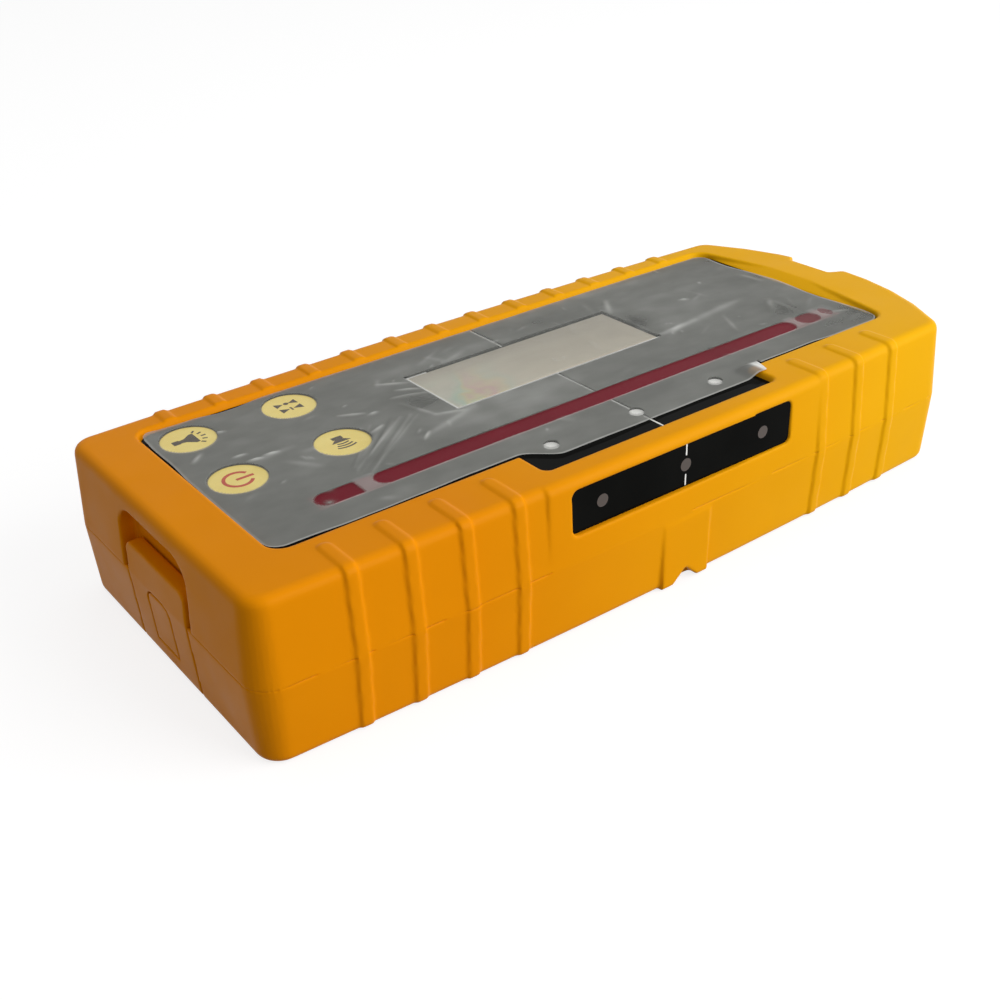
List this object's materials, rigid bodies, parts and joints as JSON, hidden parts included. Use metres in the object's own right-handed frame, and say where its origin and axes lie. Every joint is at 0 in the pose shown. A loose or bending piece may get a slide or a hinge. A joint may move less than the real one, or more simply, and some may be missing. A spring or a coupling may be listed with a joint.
{
  "type": "laser receiver",
  "caption": "Yellow laser receiver with a ribbed split shell, recessed black face with keys, display and red receiving window, side indicator window and hinged battery door.",
  "frame": {"origin": "middle of the footprint, on the back face that it lies on", "axes": "+X along the housing to its bowed end, +Y away from the side window, +Z out of the face"},
  "size_m": [0.1718, 0.0752, 0.0313],
  "materials": {
    "shell": "moulded, fine satin",
    "door": "moulded, fine satin",
    "face": "gloss",
    "side_glass": "gloss",
    "display_window": "clear",
    "red_window": "tinted gloss",
    "film": "thin clear film",
    "key": "printed satin",
    "light_pipe": "clear",
    "side_light_pipe": "smoked",
    "seal": "matt",
    "steel": "plated",
    "brass": "turned",
    "board": "solder mask",
    "component": "moulded",
    "display": "polished",
    "led": "clear",
    "cell": "sleeved",
    "membrane": "matt"
  },
  "bodies": {
    "housing": {"front_shell": "shell", "rear_shell": "shell", "housing_seal": "seal", "housing_screws": "steel", "clamp_insert": "brass", "face_panel": "face", "lcd_window": "display_window", "filter_window": "red_window", "protective_film": "film", "face_light_pipes": "light_pipe", "side_panel": "side_glass", "side_light_pipes": "side_light_pipe", "side_leds": "led", "side_board": "board", "side_board_header": "component", "main_board": "board", "board_screws": "steel", "key_switches": "component", "lcd_module": "display", "lcd_holder": "component", "lcd_connectors": "membrane", "light_baffle": "component", "photodiodes": "component", "face_leds": "led", "buzzer": "component", "sound_membrane": "membrane", "processor": "component", "amplifier_chips": "component", "receiver_shield": "steel", "crystal": "steel", "capacitors": "component", "battery_cells": "cell", "battery_contacts": "steel", "battery_springs": "steel", "door_hinge_pin": "steel"},
    "torch_button": {"key_torch": "key"},
    "precision_button": {"key_precision": "key"},
    "power_button": {"key_power": "key"},
    "sound_button": {"key_sound": "key"},
    "door": {"battery_door": "door", "door_seal": "seal", "latch_pin": "steel"},
    "latch": {"battery_latch": "door"}
  },
  "joints": [
    {"name": "torch_press", "type": "slide", "parent": "housing", "child": "torch_button", "axis": [0, 0, -1], "range_m": [0, 0.0004], "stiffness_N_per_m": 800},
    {"name": "precision_press", "type": "slide", "parent": "housing", "child": "precision_button", "axis": [0, 0, -1], "range_m": [0, 0.0004], "stiffness_N_per_m": 800},
    {"name": "power_press", "type": "slide", "parent": "housing", "child": "power_button", "axis": [0, 0, -1], "range_m": [0, 0.0004], "stiffness_N_per_m": 800},
    {"name": "sound_press", "type": "slide", "parent": "housing", "child": "sound_button", "axis": [0, 0, -1], "range_m": [0, 0.0004], "stiffness_N_per_m": 800},
    {"name": "door_swing", "type": "hinge", "parent": "housing", "child": "door", "pos_m": [-0.022, 0, 0.0012], "axis": [0, -1, 0], "range_deg": [0, 95]},
    {"name": "latch_press", "type": "hinge", "parent": "door", "child": "latch", "pos_m": [-0.0839, 0, 0.0052], "axis": [0, 1, 0], "range_deg": [0, 7], "stiffness_Nm_per_rad": 0.05}
  ]
}
